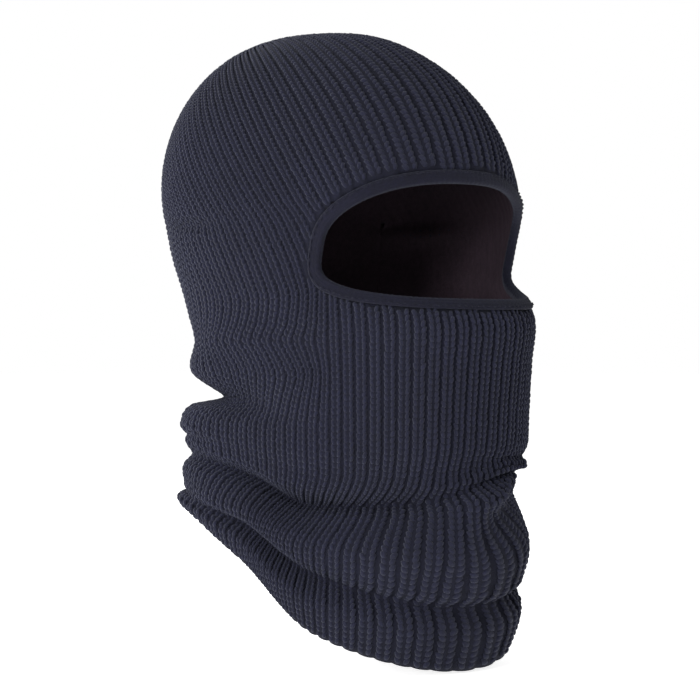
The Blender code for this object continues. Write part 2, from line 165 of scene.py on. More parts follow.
# The ribbed ground: how far out its faces lie in a valley, and how much they rise to a crest. The outer face
# is level by the binding.
GROUND_VALLEY = -0.85
GROUND_RELIEF = 1.15
GROUND_LEVEL = -0.4
INSIDE_VALLEY = -CLOTH / 2 - 0.35
INSIDE_RELIEF = 0.3
RIB_SQUARENESS = 2.6
RELIEF_REACH = 6.0  # the distance over which the ribs rise by the binding
GROUND_START = 4.0  # the distance from the rim where the ground starts to rise, and the stitches
STITCH_START = 6.0

# One leg of a knit stitch: where it starts across, along and over the rib, how far it leans outwards and
# reaches along the rib, how high its middle rises, its yarn's radius, and the half rib it was sized on.
LEG_START = (0.95, -0.6, -0.4)
LEG_LEAN = 1.25
LEG_REACH = 3.6
LEG_RISE = 0.72
LEG_RADIUS = 1.05
LEG_RINGS = (0.1, 0.37, 0.63, 0.9)
LEG_SIDES = 6
LEG_HALF_RIB = 3.5
STITCH_EDGE = CUT_EDGE + 3.4  # no stitch sits closer to the rim
STITCH_TILT = 0.06  # how unevenly the stitches lean, and how unevenly they swell
STITCH_SWELL = 0.05
STITCH_LEVEL = -0.25  # how far out the stitches stand by the binding, and how much further elsewhere
STITCH_RELIEF = 0.15
STITCH_FLAT = 0.45  # the part of their height that they keep by the binding

# The yarn wound over the seams.
SEAM_YARN = 0.5  # radius
SEAM_PITCH = 3.4
SEAM_REACH = 1.0
SEAM_STEPS = 12  # points in each turn
YARN_SIDES = 6

# The binding's section, and the line of stitches that holds it down.
BINDING_ROOM = 0.1  # between the binding and the cloth it grips
BINDING_WALL = 0.75
BINDING_SET = -0.2  # how far it sits towards the inside
BINDING_SAG = 0.1
BINDING_FOLD = 1.55  # how deep the round of its fold is
BINDING_STITCH = 2.6  # length of its knit stitches along the rim
HOLD_LINE = 5.1  # from the rim to the holding stitches
HOLD_YARN = 0.32
HOLD_PITCH = 3.1
HOLD_LEVEL = CLOTH / 2 + 0.6
HOLD_WAVE = 0.4

# The blank tab inside the nape.
LABEL_HALF_WIDTH = 17.0
LABEL_TOP = 168.0
LABEL_DROP = 24.0
LABEL_DEPTH = CLOTH / 2 + 2.0
LABEL_HALF_THICKNESS = 0.2

# Soft lights, in metres: how far each stands towards the camera, to its right and up, its size and its power.
LIGHTS = (
    ("key", (0.9, -0.9, 0.9), 0.9, 11),
    ("front", (1.1, -0.5, 0.12), 0.3, 8),
    ("fill", (0.9, 1.1, 0.3), 1.2, 1.2),
    ("rim", (-0.9, -0.7, 0.7), 0.8, 12),
)
CAMERA_AZIMUTH = math.radians(-37)
CAMERA_DISTANCE = 1.05
CAMERA_LEVEL = 146.0
CAMERA_ASIDE = 0.00555
CAMERA_LENS = 110.7
SKY_LIGHT = 0.32  # what the cloth gets of the paper-white surroundings
FLOOR_GLOW = 0.78

# The yarn's shades: each noise's fineness and detail, the part that counts, and the shades it gives.
FIBRE_NOISES = (
    (1900.0, 3.0, (0.25, 0.75), (0.7, 1.35)),  # strands
    (420.0, 2.0, (0.3, 0.7), (0.82, 1.2)),  # tufts
    (26.0, 3.0, (0.3, 0.7), (0.9, 1.1)),  # a slow drift
)

# Mesh fineness.
RIB_STEPS = 6
CROWN_ROWS = 40
NECK_ROWS = 100
PATH_STEPS = 420
RIM_STEPS = 420
RIM_POINTS = 200
FAR = 100.0  # stands for any distance from the rim beyond the face


def settings():
    return bpy.context.scene.balaclava


def curve(x, points, values):
    """A smooth curve through a few points that never overshoots them: a monotone cubic."""
    points = np.asarray(points, float)
    values = np.asarray(values, float)
    step = np.diff(points)
    rise = np.diff(values) / step
    slope = np.zeros_like(values)
    before = 2 * step[1:] + step[:-1]
    after = step[1:] + 2 * step[:-1]
    same_way = rise[:-1] * rise[1:] > 0
    low = np.where(same_way, rise[:-1], 1)
    high = np.where(same_way, rise[1:], 1)
    slope[1:-1] = np.where(same_way, (before + after) / (before / low + after / high), 0)
    slope[0] = rise[0]
    slope[-1] = rise[-1]
    x = np.clip(x, points[0], points[-1])
    i = np.clip(np.searchsorted(points, x) - 1, 0, len(step) - 1)
    t = (x - points[i]) / step[i]
    ends = (1 + 2 * t) * (1 - t) ** 2 * values[i] + t * t * (3 - 2 * t) * values[i + 1]
    return ends + t * (1 - t) * step[i] * ((1 - t) * slope[i] - t * slope[i + 1])


def smooth(x):
    """From 0 to 1 with level ends."""
    x = np.clip(x, 0, 1)
    return x * x * (3 - 2 * x)


def hump(x, middle, half_width):
    """1 at the middle and 0 beyond the half width, with level ends."""
    return smooth(1 - np.abs(x - middle) / half_width)


def unit(vectors):
    """The vectors at length 1."""
    return vectors / np.linalg.norm(vectors, axis=-1, keepdims=True)


def running_length(lines):
    """Distance along each line of points from its first one."""
    step = np.linalg.norm(np.diff(lines, axis=-2), axis=-1)
    start = np.zeros(step.shape[:-1] + (1,))
    return np.concatenate([start, np.cumsum(step, axis=-1)], axis=-1)


def signed_degrees(angle):
    """An angle in degrees from the face, positive towards the wearer's right."""
    return np.degrees(np.arctan2(np.sin(angle), np.cos(angle)))


def section(angle, height):
    """Radius of the plain hood: half an ellipse behind, and half a squarer one in front."""
    side = curve(height, *HALF_WIDTHS)
    forward = np.cos(angle) > 0
    reach = np.where(forward, curve(height, *FRONT_REACH), curve(height, *BACK_REACH))
    power = np.where(forward, curve(height, *SQUARENESS), 2.0)
    return (np.abs(np.sin(angle) / side) ** power + np.abs(np.cos(angle) / reach) ** power) ** (-1 / power)


def round_the_neck(angle, values):
    """A ring's value at any angle, mirrored from one side of the face to the other."""
    degrees = np.abs(signed_degrees(angle))
    angles = (-RING_ANGLES[1],) + RING_ANGLES + (360 - RING_ANGLES[-2],)
    return curve(degrees, angles, (values[1],) + tuple(values) + (values[-2],))


def ring_spline(knots, along):
    """Catmull-Rom through the rings, along from 0 at the brow to 1 at the hem."""
    first = 2 * knots[..., :1] - knots[..., 1:2]
    last = 2 * knots[..., -1:] - knots[..., -2:-1]
    knots = np.concatenate([first, knots, last], axis=-1)
    spans = knots.shape[-1] - 3
    place = np.clip(along, 0, 1) * spans
    i = np.minimum(place.astype(int), spans - 1)
    t = place - i
    a, b, c, d = (np.take_along_axis(knots, (i + k)[..., None], -1)[..., 0] for k in range(4))
    return 0.5 * (2 * b + (c - a) * t + (2 * a - 5 * b + 4 * c - d) * t**2 + (3 * b - a - 3 * c + d) * t**3)


def small_folds(angle, height):
    """Steps in and out that the rings don't hold: a few humps, each a product of one round the hood and one
    in height, and the cowl's ridge, a bell curve about a line that wanders round the hood as it descends."""
    degrees = signed_degrees(angle)
    aside = np.abs(degrees)
    folds = sum(step * hump(aside, *reach) * hump(height, *level) for step, reach, level in SMALL_FOLDS)
    beside = degrees - curve(height, *RIDGE)
    width = np.where(beside > 0, *RIDGE_WIDTHS)
    ridge = curve(height, *RIDGE_RISE) * np.exp(-((beside / width) ** 2)) * (aside < RIDGE_REACH)
    return folds + ridge


def neck(angle, along):
    """A point of the hood below the brow: the rings give its height and its step out from the section."""
    lift = hump(signed_degrees(angle), *LEFT_LIFT_PLACE)
    heights = [round_the_neck(angle, ring[1]) + LEFT_LIFT.get(ring[0], 0) * lift for ring in RINGS]
    steps = np.stack([round_the_neck(angle, ring[2]) for ring in RINGS], -1)
    height = ring_spline(np.stack(heights, -1), along)
    radius = section(angle, height) + ring_spline(steps, along) + small_folds(angle, height)
    return np.stack([-radius * np.sin(angle), -radius * np.cos(angle), height], -1)


def crown(direction):
    """A point of the hood above the brow, for a direction on a unit half sphere: an ellipsoid that swells
    behind and slopes at the forehead."""
    x, y, z = direction[..., 0], direction[..., 1], np.clip(direction[..., 2], 0, 1)
    shoulder = 2 * z * np.sqrt(np.clip(1 - z * z, 0, 1))
    full = CROWN_FULLNESS * smooth((y + 0.45) / 0.8) - FOREHEAD_SLOPE * (1 - smooth((y + 0.6) / 0.8))
    scale = 1 + full * shoulder
    return np.stack([
        HALF_WIDTH * x * scale,
        HALF_LENGTH * y * scale,
        BROW_HEIGHT + CROWN_RISE * z * scale,
    ], -1)


def brow_direction(angle):
    """The unit direction whose crown point stands at this angle on the brow."""
    turn = np.arctan2(np.sin(angle) / HALF_WIDTH, np.cos(angle) / HALF_LENGTH)
    return np.stack([-np.sin(turn), -np.cos(turn), 0 * turn], -1)


def from_pole(distance, bearing):
    """The unit direction at a distance and a bearing from the point that the ribs aim at."""
    aside = np.cos(bearing)[..., None] * POLE_FORWARD + np.sin(bearing)[..., None] * POLE_RIGHT
    return np.cos(distance)[..., None] * RIB_POLE + np.sin(distance)[..., None] * aside


def pole_bearing(direction):
    """The bearing of a direction as seen from the ribs' pole, 0 towards the face."""
    return np.arctan2(direction @ POLE_RIGHT, direction @ POLE_FORWARD)


def tongue_edge(bearing):
    """Distance of the tongue's edge from the pole."""
    return np.radians(curve(np.degrees(np.abs(bearing)), *TONGUE_EDGE))


def rib_turn(angle):
    """How far a rib has turned from its place on the neck by the time it reaches the brow."""
    degrees = np.degrees(np.abs(angle))
    return np.radians(curve(degrees, *RIB_TURN)) * np.sign(angle)


def rib_sway(angle, height):
    """How far a rib leans: towards the face on the cheeks, out in a fan below the chin, and away from the
    cowl's ridge beyond it."""
    degrees = signed_degrees(angle)
    aside = np.abs(degrees)
    start, full, fading, gone = SWAY_SPAN
    window = smooth((aside - start) / (full - start)) * smooth((gone - aside) / (gone - fading))
    cheek = -np.radians(curve(height, *RIB_SWAY)) * window * np.sign(degrees)
    spread = FAN_SPREAD * (degrees - FAN_MIDDLE) * hump(degrees, FAN_MIDDLE, FAN_REACH)
    below = np.interp(degrees, RIDGE[1][::-1], RIDGE[0][::-1]) - height
    growth, fade, end = RIDGE_DRIFT_SPAN
    beyond = smooth((RIDGE[1][0] - degrees) / growth) * smooth((degrees - end) / fade)
    drift = -RIDGE_DRIFT * smooth(below / RIDGE_DRIFT_DROP) * beyond
    return cheek + np.radians(spread * smooth((FAN_TOP - height) / FAN_DROP) + drift)


def neck_paths(angle, along):
    """Points down each rib, from the brow to the hem."""
    along = np.broadcast_to(along, (len(angle), len(along)))
    angle = np.repeat(angle[:, None], along.shape[1], 1)
    height = neck(angle, along)[..., 2]
    turned = angle + rib_turn(angle) * np.exp(-np.clip(BROW_HEIGHT - height, 0, None) / RIB_TURN_FADE)
    return neck(turned + rib_sway(turned, height), along)


def front_crown_paths(angle, along):
    """Points down each rib of the front panel, from the tongue's edge to the brow."""
    foot = brow_direction(angle + rib_turn(angle))
    bearing = pole_bearing(foot)
    start = tongue_edge(bearing)
    end = np.arccos(foot @ RIB_POLE)
    distance = start[:, None] + (end - start)[:, None] * along
    return crown(from_pole(distance, np.repeat(bearing[:, None], len(along), 1)))


def back_crown_paths(angle, along):
    """The same for the back panel, whose ribs rise in upright planes to the tongue's edge."""
    foot = brow_direction(angle)

    def upright(turn):
        x = np.repeat(foot[:, :1], turn.shape[-1], 1)
        return np.stack([x, foot[:, 1:2] * np.cos(turn), foot[:, 1:2] * np.sin(turn)], -1)

    rise = np.linspace(0, math.pi, 721)
    over = upright(rise)
    beyond = np.arccos(np.clip(over @ RIB_POLE, -1, 1)) - tongue_edge(pole_bearing(over))
    inside = (beyond < 0) | (rise < 0.02)
    last = np.argmin(inside, axis=1) - 1
    pick = np.arange(len(angle))
    part = -beyond[pick, last] / (beyond[pick, last + 1] - beyond[pick, last])
    top = rise[last] + np.clip(part, 0, 1) * (rise[1] - rise[0])
    return crown(upright((1 - along) * top[:, None]))


def rib_edges(start, end):
    """How many ribs fit between two angles, evenly spaced along the neck's section, and a function that gives
    the angle of any place counted in ribs."""
    angle = np.linspace(start, end, 4001)
    radius = section(angle, PITCH_HEIGHT)
    line = np.stack([radius * np.sin(angle), radius * np.cos(angle)], -1)
    length = running_length(line)
    ribs = int(round(length[-1] / (settings().rib_pitch * 1000)))
    return ribs, lambda place: np.interp(np.asarray(place) / ribs * length[-1], length, angle)


class Panel:
    """One knitted panel: its ribs, and the middle surface that they lie on."""

    def __init__(self, start, end, crown_paths):
        self.ribs, self.angle_of = rib_edges(start, end)
        self.crown_paths = crown_paths

    def surface(self, places, crown_rows, neck_rows):
        """Points down the hood at these places across the ribs, counted in ribs from one side seam."""
        angle = self.angle_of(places)
        top = self.crown_paths(angle, np.linspace(0, 1, crown_rows + 1))
        return np.concatenate([top, neck_paths(angle, np.linspace(0, 1, neck_rows + 1))[:, 1:]], axis=1)


def face_surface(x, height):
    """The middle surface at the front of the hood, between the cheeks and the forehead, and its normal."""

    def point(x, height):
        power = curve(height, *SQUARENESS)
        side = curve(height, *HALF_WIDTHS)
        forward = curve(height, *FRONT_REACH) * (1 - np.abs(x / side) ** power) ** (1 / power)
        rise = np.clip((height - BROW_HEIGHT) / CROWN_RISE, 0, 1)
        across = x / HALF_WIDTH
        above = crown(np.stack([across, -np.sqrt(1 - across**2 - rise**2), rise], -1))
        return np.where((height > BROW_HEIGHT)[..., None], above, np.stack([x, -forward, height], -1))

    across = point(x + 0.5, height) - point(x - 0.5, height)
    upward = point(x, height + 0.5) - point(x, height - 0.5)
    return point(x, height), unit(np.cross(across, upward))


def eye_outline(turn):
    """The opening's rim in x and height: a wide oval on top of a flatter, squarer one."""
    upper = np.sin(turn) > 0
    power = np.where(upper, EYE_TOP_SQUARENESS, EYE_BOTTOM_SQUARENESS)
    reach = np.where(upper, EYE_RISE, EYE_DROP)
    size = (np.abs(np.cos(turn)) ** power + np.abs(np.sin(turn)) ** power) ** (-1 / power)
    return EYE_HALF_WIDTH * np.cos(turn) * size, EYE_HEIGHT + reach * np.sin(turn) * size


def eye_rim(steps):
    """Evenly spaced points round the rim, the hood's normals there, and the way out over the cloth."""
    turn = np.linspace(0, 2 * math.pi, 20 * steps + 1)
    x, height = eye_outline(turn)
    line, _ = face_surface(x, height)
    length = running_length(line)
    even = np.interp(np.arange(steps) / steps * length[-1], length, turn)
    here, normal = face_surface(*eye_outline(even))
    along = np.roll(here, -1, axis=0) - np.roll(here, 1, axis=0)
    return here, normal, unit(np.cross(along, normal)), length[-1]


def rim_distance(points):
    """Distance of the panels' points from the rim, negative inside the opening."""
    here, _, _, _ = eye_rim(RIM_POINTS)
    flat = points.reshape(-1, 3)
    far = np.full(len(flat), FAR)
    near = np.flatnonzero((flat[:, 1] < -20) & (np.abs(flat[:, 2] - EYE_HEIGHT) < 60))
    away = np.linalg.norm(flat[near, None] - here[None], axis=-1).min(axis=1)
    x, height = flat[near, 0] / EYE_HALF_WIDTH, flat[near, 2] - EYE_HEIGHT
    power = np.where(height > 0, EYE_TOP_SQUARENESS, EYE_BOTTOM_SQUARENESS)
    reach = np.where(height > 0, EYE_RISE, EYE_DROP)
    inside = np.abs(x) ** power + np.abs(height / reach) ** power < 1
    far[near] = np.where(inside, -away, away)
    return far.reshape(points.shape[:-1])


def to_frame(points):
    """Millimetres over the hem to the frame's metres."""
    return (np.asarray(points) - [0, 0, SEAT_HEIGHT]) / 1000


def quads(index):
    """Faces between neighbouring rows and columns of a grid of point numbers."""
    corners = index[:-1, :-1], index[1:, :-1], index[1:, 1:], index[:-1, 1:]
    return np.stack(corners, -1).reshape(-1, 4)


def add_piece(name, points, faces, shade):
    """A mesh object from arrays of points and quads or triangles."""
    mesh = bpy.data.meshes.new(name)
    faces = np.asarray(faces)
    sides = faces.shape[1]
    mesh.vertices.add(len(points))
    mesh.vertices.foreach_set("co", to_frame(points).astype(np.float32).ravel())
    mesh.loops.add(faces.size)
    mesh.loops.foreach_set("vertex_index", faces.astype(np.int32).ravel())
    mesh.polygons.add(len(faces))
    mesh.polygons.foreach_set("loop_start", np.arange(0, faces.size, sides, dtype=np.int32))
    mesh.update(calc_edges=True)
    mesh.polygons.foreach_set("use_smooth", np.ones(len(faces), bool))
    mesh.validate()
    mesh.materials.append(shade)
    piece = bpy.data.objects.new(name, mesh)
    bpy.context.scene.collection.objects.link(piece)
    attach(piece, "root")
    return piece


def outward_normals(grid):
    """Unit normals of a grid of points, turned away from the hood's axis."""
    normal = unit(np.cross(np.gradient(grid, axis=0), np.gradient(grid, axis=1)))
    axis = grid - [0, 0, EYE_HEIGHT]
    return normal if (normal * axis).sum() > 0 else -normal


def rib_shape(place):
    """Height over a rib, from 0 in the valleys to 1 on the crest, for a place counted in ribs."""
    aside = np.abs(2 * (place - np.floor(place)) - 1)
    return 1 - aside**RIB_SQUARENESS


def panel_cloth(name, layout, shade):
    """The ground of a panel: a closed sheet whose two faces rise and fall with the ribs, cut at the eyes."""
    places = np.linspace(0, layout.ribs, layout.ribs * RIB_STEPS + 1)
    grid = layout.surface(places, CROWN_ROWS, NECK_ROWS)
    normal = outward_normals(grid)
    distance = rim_distance(grid)
    relief = smooth((distance - GROUND_START) / RELIEF_REACH)
    crest = rib_shape(places)[:, None]
    outer = GROUND_LEVEL + relief * (GROUND_VALLEY - GROUND_LEVEL + GROUND_RELIEF * crest)
    inner = INSIDE_VALLEY + relief * INSIDE_RELIEF * crest
    points = both_faces(grid, normal, outer[..., None], inner[..., None])
    uncut = distance > CUT_EDGE
    kept = uncut[:-1, :-1] & uncut[1:, :-1] & uncut[1:, 1:] & uncut[:-1, 1:]
    turned = outward_turn(points, closed_sheet(kept))
    used, faces = np.unique(turned, return_inverse=True)
    cloth = add_piece(name, points[used], faces.reshape(-1, 4), shade)
    # The inner faces take the inside material, which is painted lighter as light inside the hood.
    cloth.data.materials.append(inside_tone_painted_light_material())
    side = np.zeros(len(turned), np.int32)
    side[kept.sum():2 * kept.sum()] = 1
    cloth.data.polygons.foreach_set("material_index", side)
    return cloth


def outward_turn(points, faces):
    """The same faces, turned over if the closed shape they make is inside out."""
    first, *others = (points[faces[:, k]] for k in range(faces.shape[1]))
    volume = sum((np.cross(b - first, c - first) * first).sum() for b, c in zip(others, others[1:]))
    return faces if volume > 0 else faces[:, ::-1]


def both_faces(grid, normal, outer, inner):
    """The points of a sheet's two faces, these far out from its middle surface."""
    return np.concatenate([(grid + normal * outer).reshape(-1, 3), (grid + normal * inner).reshape(-1, 3)])


def closed_sheet(kept):
    """Both faces of the kept cells of a grid, and a wall wherever a kept cell has no neighbour. The points of
    the second face are numbered on from those of the first."""
    number = np.arange((kept.shape[0] + 1) * (kept.shape[1] + 1)).reshape(kept.shape[0] + 1, -1)
    under = number.size
    cells = quads(number).reshape(kept.shape + (4,))
    framed = np.pad(kept, 1)
    neighbours = (framed[1:-1, :-2], framed[2:, 1:-1], framed[1:-1, 2:], framed[:-2, 1:-1])
    faces = [cells[kept], cells[kept][:, ::-1] + under]
    for side, beside in enumerate(neighbours):
        edge = cells[kept & ~beside]
        start, stop = edge[:, side], edge[:, (side + 1) % 4]
        faces.append(np.stack([stop, start, start + under, stop + under], -1))
    return np.concatenate(faces)


def leg_line(t):
    """The middle of a leg: straight across and along the rib, and half a sine wave over it."""
    across, along, over = LEG_START
    return np.stack([across + LEG_LEAN * t, along + LEG_REACH * t, over + LEG_RISE * np.sin(math.pi * t)], -1)


def leg_template():
    """One leg of a knit stitch, in millimetres across, along and over the rib: a plump yarn that rises from
    under the stitch below, leans outwards and dives under the one above. Its radius swells by a sine."""
    t = np.array(LEG_RINGS)
    turn = np.arange(LEG_SIDES) * 2 * math.pi / LEG_SIDES
    radius = LEG_RADIUS * (0.68 + 0.32 * np.sin(math.pi * t))
    lean = math.atan2(LEG_LEAN, LEG_REACH)
    aside = np.array([math.cos(lean), -math.sin(lean), 0.0])
    ring = aside * np.cos(turn)[:, None] + np.array([0, 0, 1.0]) * np.sin(turn)[:, None]
    body = leg_line(t)[:, None] + ring[None] * radius[:, None, None]
    points = np.concatenate([body.reshape(-1, 3), leg_line(np.array([0.0, 1.0]))])
    return points, pointed_tube(len(t), LEG_SIDES)


def pointed_tube(rings, sides):
    """Triangles of a tube whose rings are followed by a point for each end."""
    number = np.arange(rings * sides).reshape(rings, sides)
    number = np.concatenate([number, number[:, :1]], axis=1)
    body = quads(number)
    body = np.concatenate([body[:, [0, 1, 2]], body[:, [0, 2, 3]]])
    start = np.stack([number[0, :-1], number[0, 1:], np.full(sides, rings * sides)], -1)
    end = np.stack([number[-1, 1:], number[-1, :-1], np.full(sides, rings * sides + 1)], -1)
    return np.concatenate([body, start, end])


def stitch_frames(layout, ribs):
    """Where each stitch of these ribs sits, evenly spaced down its rib: its middle, its half rib width, the
    way down, its normal and its height."""
    lines = (layout.surface(ribs + place, PATH_STEPS // 2, PATH_STEPS) for place in (0.0, 1.0, 0.5))
    left, right, middle = lines
    down = unit(np.gradient(middle, axis=1))
    wide = (right - left) / 2
    wide -= (wide * down).sum(-1, keepdims=True) * down
    normal = unit(np.cross(wide, down))
    if (normal * (middle - [0, 0, EYE_HEIGHT])).sum() < 0:
        normal = -normal
    length = running_length(middle)
    rows = np.round(length[:, -1] / (settings().stitch_height * 1000)).astype(int)
    place = (np.arange(rows.max())[None] + 0.5) / rows[:, None]
    whole = place < 1
    target = np.minimum(place, 1) * length[:, -1:]
    index = np.stack([np.searchsorted(along, wanted) for along, wanted in zip(length, target)])
    index = np.clip(index, 1, length.shape[1] - 1)
    pick = np.arange(len(ribs))[:, None]
    before, after = length[pick, index - 1], length[pick, index]
    part = ((target - before) / np.maximum(after - before, 1e-9))[..., None]

    def at(values):
        return (values[pick, index - 1] * (1 - part) + values[pick, index] * part)[whole]

    height = np.broadcast_to((length[:, -1] / rows)[:, None], place.shape)[whole]
    return at(middle), at(wide), at(down), unit(at(normal)), height


def panel_stitches(name, layout, ribs, shade):
    """All the stitches of some ribs: two mirrored legs each, laid on the ribs' crests. A leg's point is the
    stitch's middle plus its three measures, each along its own direction and stretched to the rib."""
    frames = stitch_frames(layout, ribs)
    distance = rim_distance(frames[0])
    shown = distance > STITCH_EDGE
    here, wide, down, normal, height = (values[shown] for values in frames)
    relief = smooth((distance[shown] - STITCH_START) / RELIEF_REACH)[:, None, None]
    leg, faces = leg_template()
    nominal = settings().stitch_height * 1000
    seed = np.random.default_rng(7)
    tilt = seed.normal(0, STITCH_TILT, (len(here), 1))
    swell = 1 + seed.normal(0, STITCH_SWELL, (len(here), 1, 1))
    along = -(leg[:, 1][None] / nominal * height[:, None])[..., None] * down[:, None]
    lean = (tilt * leg[:, 1][None] * 0.3)[..., None] * unit(wide)[:, None]
    plump = STITCH_FLAT + (1 - STITCH_FLAT) * relief
    over = leg[:, 2][None, :, None] * plump * normal[:, None] * swell
    lift = (STITCH_LEVEL + STITCH_RELIEF * relief) * normal[:, None]
    legs = [
        here[:, None] + (leg[:, 0] * side)[None, :, None] * swell * wide[:, None] / LEG_HALF_RIB
        + along + lean + over + lift
        for side in (-1, 1)
    ]
    points = np.concatenate(legs).reshape(-1, 3)
    first = (faces[None] + (np.arange(len(here)) * len(leg))[:, None, None]).reshape(-1, 3)
    second = first[:, ::-1] + len(here) * len(leg)
    a, b, c = (points[first[:, k]] for k in range(3))
    middle = np.repeat(legs[0].mean(axis=1), len(faces), axis=0)
    if (np.cross(b - a, c - a) * (a - middle)).sum() < 0:
        first, second = first[:, ::-1], second[:, ::-1]
    return add_piece(name, points, np.concatenate([first, second]), shade)


def swept_loop(name, rings, shade):
    """A body swept round a closed loop: rings is (steps, sides, 3)."""
    steps, sides = rings.shape[:2]
    number = np.arange(steps * sides).reshape(steps, sides)
    number = np.concatenate([number, number[:1]])
    number = np.concatenate([number, number[:, :1]], axis=1)
    faces = outward_turn(rings.reshape(-1, 3), quads(number))
    return add_piece(name, rings.reshape(-1, 3), faces, shade)


def tube_points(path, normal, radius, sides, closed):
    """Rings of a round yarn about a path."""
    along = (np.roll(path, -1, 0) - np.roll(path, 1, 0)) if closed else np.gradient(path, axis=0)
    side = unit(np.cross(along, normal))
    up = unit(np.cross(side, along))
    turn = np.arange(sides) * 2 * math.pi / sides
    ring = side[:, None] * np.cos(turn)[:, None] + up[:, None] * np.sin(turn)[:, None]
    return path[:, None] + ring * np.reshape(radius, (-1, 1, 1))


def open_tube(name, path, normal, radius, sides, shade):
    """A yarn along an open path, closed by a point at each end."""
    rings = tube_points(path, normal, radius, sides, False)
    points = np.concatenate([rings.reshape(-1, 3), path[:1], path[-1:]])
    faces = outward_turn(points, pointed_tube(len(path), sides))
    return add_piece(name, points, faces, shade)


def overcast_path(line, normal):
    """A yarn wound round a seam line: a helix whose axis follows the line, flattened against the cloth."""
    length = running_length(line)
    count = int(length[-1] / SEAM_PITCH) * SEAM_STEPS
    place = np.linspace(0, length[-1], count)
    core = np.stack([np.interp(place, length, line[:, k]) for k in range(3)], -1)
    up = unit(np.stack([np.interp(place, length, normal[:, k]) for k in range(3)], -1))
    side = unit(np.cross(unit(np.gradient(core, axis=0)), up))
    turn = 2 * math.pi * place / SEAM_PITCH
    over = 0.55 * SEAM_REACH * np.sin(turn) + 0.2
    return core + side * (SEAM_REACH * np.cos(turn))[:, None] + up * over[:, None], up


def side_seam_line(side):
    """The line of the seam behind one ear, from the brow to the hem, and its normals."""
    angle = np.array([side * SEAM_ANGLE])
    line = neck_paths(angle, np.linspace(0.0, 1, 300))[0]
    normal = np.stack([line[:, 0], line[:, 1], 0 * line[:, 0]], -1)
    return line, unit(normal)


def crown_seam_line():
    """The line round the tongue from ear to ear, and its normals."""
    bearing = np.linspace(-TONGUE_FOOT, TONGUE_FOOT, 300)
    line = crown(from_pole(tongue_edge(bearing), bearing))
    return line, unit(line - [0, 0, BROW_HEIGHT])


def binding_outline():
    """The binding's section, as distances from the rim and heights over the cloth: a half round at the rim, a
    slope out over the cloth and a turned-in edge, the same above and below. Also says what is in sight."""
    slot = CLOTH / 2 + BINDING_ROOM
    top = slot + BINDING_WALL
    width = settings().binding_width * 1000
    bend = np.linspace(-math.pi / 2, math.pi / 2, 15)
    fold = np.stack([BINDING_FOLD * (1 - np.cos(bend)), top * np.sin(bend)], -1)
    out = np.linspace(2.1, width - 0.4, 9)
    over = np.stack([out, top - 0.55 * ((out - BINDING_FOLD) / (width - BINDING_FOLD)) ** 2], -1)
    edge = [(width, slot - 0.35), (width - 0.4, slot - 0.75), (width - 1.4, slot - 0.55)]
    within = [(BINDING_WALL + 0.3, slot - 0.3)]
    upper = np.concatenate([over, edge, within])
    outline = np.concatenate([fold, upper, upper[::-1] * [1, -1]])
    return outline, np.arange(len(outline)) < len(fold) + len(over)


def binding_rings():
    """The binding's section swept round the rim, with rows of small slanted stitches pressed into it: a sine
    wave along the rim, shifted by its place in the row, less a groove between the rows."""
    here, normal, outward, length = eye_rim(RIM_STEPS)
    outline, seen = binding_outline()
    place = np.arange(RIM_STEPS) / RIM_STEPS
    number = np.arange(len(outline)) / 3.2
    lane = np.abs(number - np.floor(number) - 0.5) * 2
    ripple = np.sin(2 * math.pi * (round(length / BINDING_STITCH) * place[:, None] + 0.55 * lane[None]))
    swell = np.where(seen, 0.16 * ripple - 0.22 * smooth((lane - 0.55) / 0.45)[None], 0)
    ways = unit(outline - [settings().binding_width * 1000 * 0.45, 0])
    outline = outline[None] + ways[None] * swell[..., None]
    sag = BINDING_SET + BINDING_SAG * np.sin(10 * math.pi * place + 1.0)
    return (here[:, None] + outward[:, None] * outline[..., :1]
            + normal[:, None] * (outline[..., 1:] + sag[:, None, None]))


def holding_stitches():
    """The yarn that sews the binding down: a loop that rises and dives along the rim as a sine wave."""
    here, normal, outward, length = eye_rim(RIM_STEPS * 2)
    place = np.arange(len(here)) / len(here)
    wave = np.sin(2 * math.pi * round(length / HOLD_PITCH) * place)
    lift = HOLD_LEVEL + BINDING_SET + HOLD_WAVE * wave
    aside = HOLD_LINE + 0.15 * np.cos(2 * math.pi * place * 60)
    path = here + outward * aside[:, None] + normal * lift[:, None]
    return tube_points(path, normal, HOLD_YARN, YARN_SIDES, True)


def label_sheet():
    """The tab's middle surface: a patch of the nape's section, a little inside it, that curls as it hangs."""
    half = LABEL_HALF_WIDTH / float(curve(155.0, *BACK_REACH))
    angles = np.linspace(math.pi - half, math.pi + half, 41)
    heights = np.linspace(LABEL_TOP, LABEL_TOP - LABEL_DROP, 31)
    angle, height = np.meshgrid(angles, heights, indexing="ij")
    hung = smooth((LABEL_TOP - height) / LABEL_DROP)
    curl = 0.5 * np.sin(np.linspace(0, 2.4 * math.pi, 41))[:, None] * hung
    radius = section(angle, height) - LABEL_DEPTH - 0.6 * hung + curl
    return np.stack([-radius * np.sin(angle), -radius * np.cos(angle), height], -1)


def group(name, inputs, outputs):
    """An empty shader group with named sockets."""
    made = bpy.data.node_groups.new(name, "ShaderNodeTree")
    for label, kind, default in inputs:
        socket = made.interface.new_socket(label, in_out="INPUT", socket_type=kind)
        socket.default_value = default
    for label, kind in outputs:
        made.interface.new_socket(label, in_out="OUTPUT", socket_type=kind)
    start, end = made.nodes.new("NodeGroupInput"), made.nodes.new("NodeGroupOutput")
    return made, start, end


def put(tree, kind, links=(), **values):
    """A node with its settings, its input values and its links."""
    node = tree.nodes.new(kind)
    for name, value in values.items():
        if hasattr(node, name):
            setattr(node, name, value)
        else:
            node.inputs[name.replace("_", " ")].default_value = value
    for label, source in links:
        tree.links.new(source, node.inputs[label])
    return node


def combine(tree, operation, first, second):
    """One number made from two."""
    return put(tree, "ShaderNodeMath", [(0, first), (1, second)], operation=operation).outputs[0]


